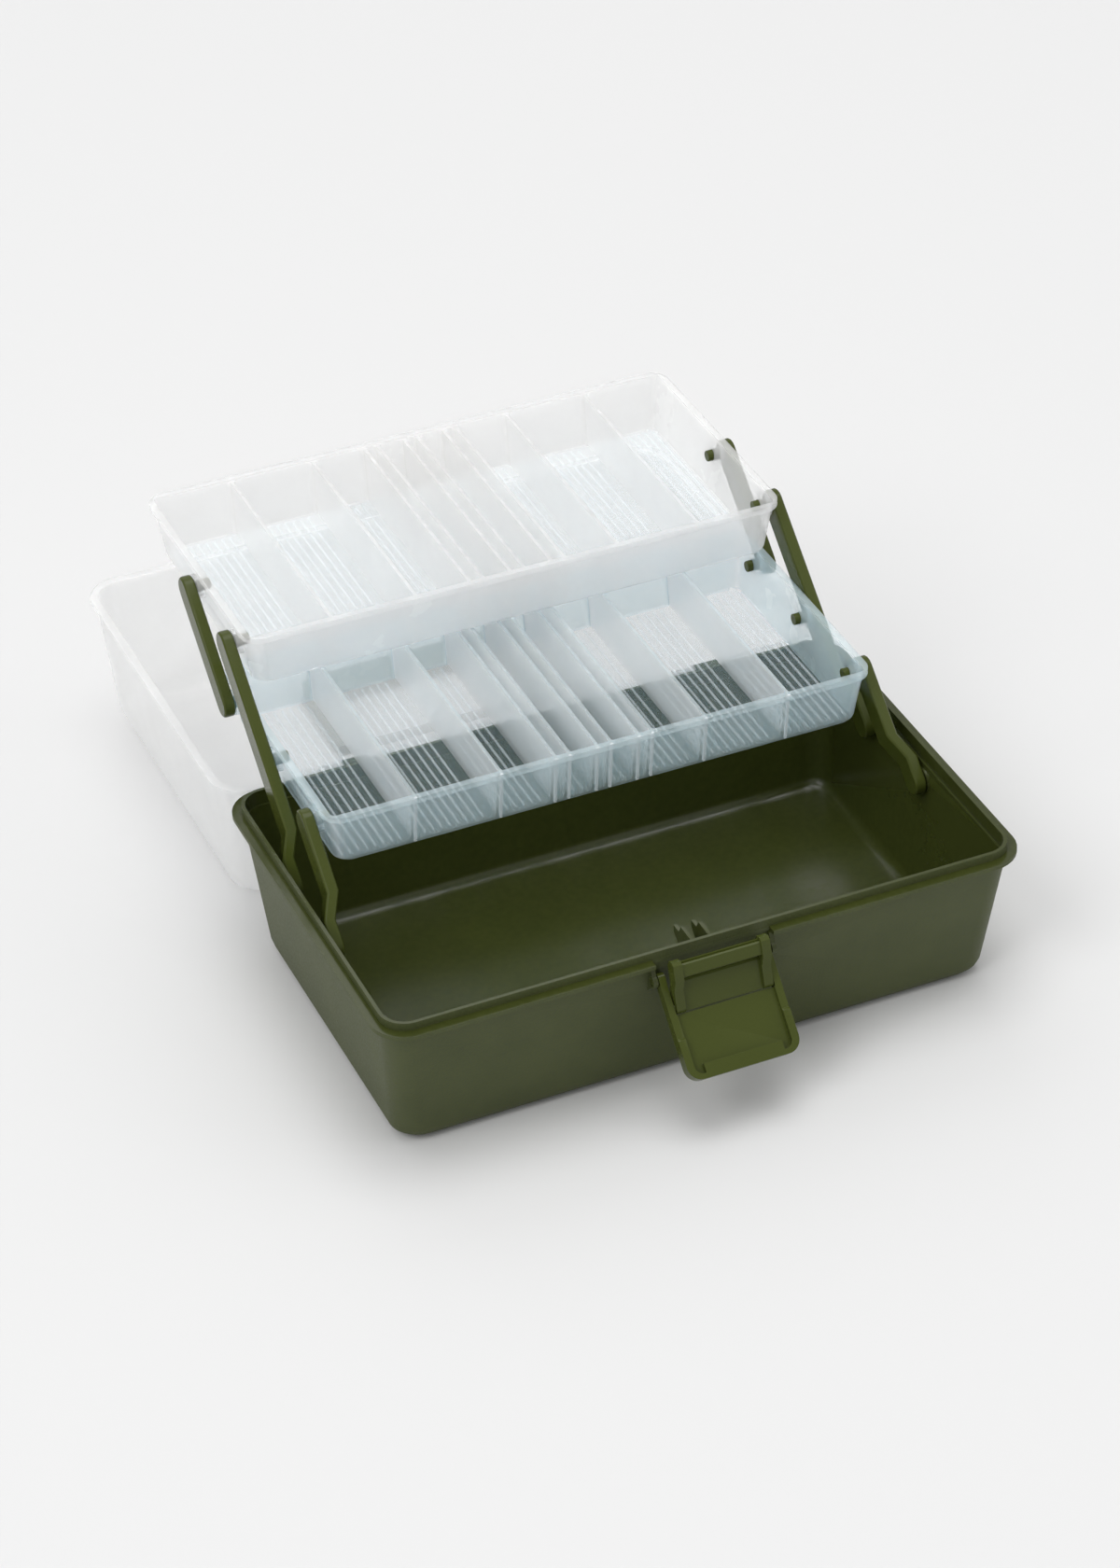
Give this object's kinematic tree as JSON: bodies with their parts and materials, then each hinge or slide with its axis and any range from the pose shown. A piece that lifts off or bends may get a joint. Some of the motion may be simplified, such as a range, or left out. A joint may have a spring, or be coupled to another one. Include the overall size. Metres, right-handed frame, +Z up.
{
  "type": "fishing tackle box",
  "caption": "Cantilever tackle box with an opaque base, frosted compartment trays on linkage arms, a frosted lid with a folding handle, and a front lever latch.",
  "frame": {"origin": "centre of the base's flat underside", "axes": "+X to the right along the box, +Y from the latch side to the hinge side, +Z up"},
  "size_m": [0.33, 0.4573, 0.1567],
  "materials": {
    "olive_shell": "moulded, fine grain outside, glossy inside",
    "olive_fittings": "moulded, satin",
    "frosted_tray": "translucent, frosted",
    "frosted_lid": "translucent, frosted",
    "pin_steel": "plain drawn wire"
  },
  "bodies": {
    "base": {"base": "olive_shell", "hinge_pin_left": "pin_steel", "hinge_pin_right": "pin_steel"},
    "lid": {"lid": "frosted_lid"},
    "carry_handle": {"carry_handle": "olive_fittings"},
    "long_arms": {"long_arm_left": "olive_fittings", "long_arm_right": "olive_fittings"},
    "front_arms": {"front_arm_left": "olive_fittings", "front_arm_right": "olive_fittings"},
    "lower_tray": {"lower_tray": "frosted_tray"},
    "upper_tray": {"upper_tray": "frosted_tray"},
    "rear_arms": {"rear_arm_left": "olive_fittings", "rear_arm_right": "olive_fittings"},
    "latch_lever": {"latch_lever": "olive_fittings"},
    "latch_hook": {"latch_hook": "olive_fittings"}
  },
  "joints": [
    {"name": "tray_fold", "type": "hinge", "parent": "base", "child": "long_arms", "pos_m": [0, 0.042, 0.065], "axis": [1, 0, 0], "range_deg": [0, 108.6]},
    {"name": "front_arm_turn", "type": "hinge", "parent": "base", "child": "front_arms", "pos_m": [0, -0.01225, 0.065], "axis": [1, 0, 0], "range_deg": [0, 108.6]},
    {"name": "lower_tray_turn", "type": "hinge", "parent": "long_arms", "child": "lower_tray", "pos_m": [0, 0.08848, 0.10527], "axis": [1, 0, 0], "range_deg": [-108.6, 0]},
    {"name": "upper_tray_turn", "type": "hinge", "parent": "long_arms", "child": "upper_tray", "pos_m": [0, 0.13497, 0.14553], "axis": [1, 0, 0], "range_deg": [-108.6, 0]},
    {"name": "rear_arm_turn", "type": "hinge", "parent": "lower_tray", "child": "rear_arms", "pos_m": [0, 0.14274, 0.10527], "axis": [1, 0, 0], "range_deg": [0, 108.6]},
    {"name": "lid_hinge", "type": "hinge", "parent": "base", "child": "lid", "pos_m": [0, 0.1058, 0.07785], "axis": [1, 0, 0], "range_deg": [0, 180]},
    {"name": "handle_swing", "type": "hinge", "parent": "lid", "child": "carry_handle", "pos_m": [0, 0.2211, 0.0073], "axis": [-1, 0, 0], "range_deg": [0, 90]},
    {"name": "lever_turn", "type": "hinge", "parent": "base", "child": "latch_lever", "pos_m": [0, -0.1028, 0.067], "axis": [1, 0, 0], "range_deg": [0, 44]},
    {"name": "hook_turn", "type": "hinge", "parent": "latch_lever", "child": "latch_hook", "pos_m": [0, -0.11294, 0.0565], "axis": [1, 0, 0], "range_deg": [-26, 0]}
  ],
  "couplings": [
    {"joint": "front_arm_turn", "follows": "tray_fold", "ratio": 1},
    {"joint": "lower_tray_turn", "follows": "tray_fold", "ratio": -1},
    {"joint": "upper_tray_turn", "follows": "tray_fold", "ratio": -1},
    {"joint": "rear_arm_turn", "follows": "tray_fold", "ratio": 1},
    {"joint": "lid_hinge", "follows": "tray_fold", "ratio": 1.6574},
    {"joint": "hook_turn", "follows": "lever_turn", "ratio": -0.5909}
  ]
}
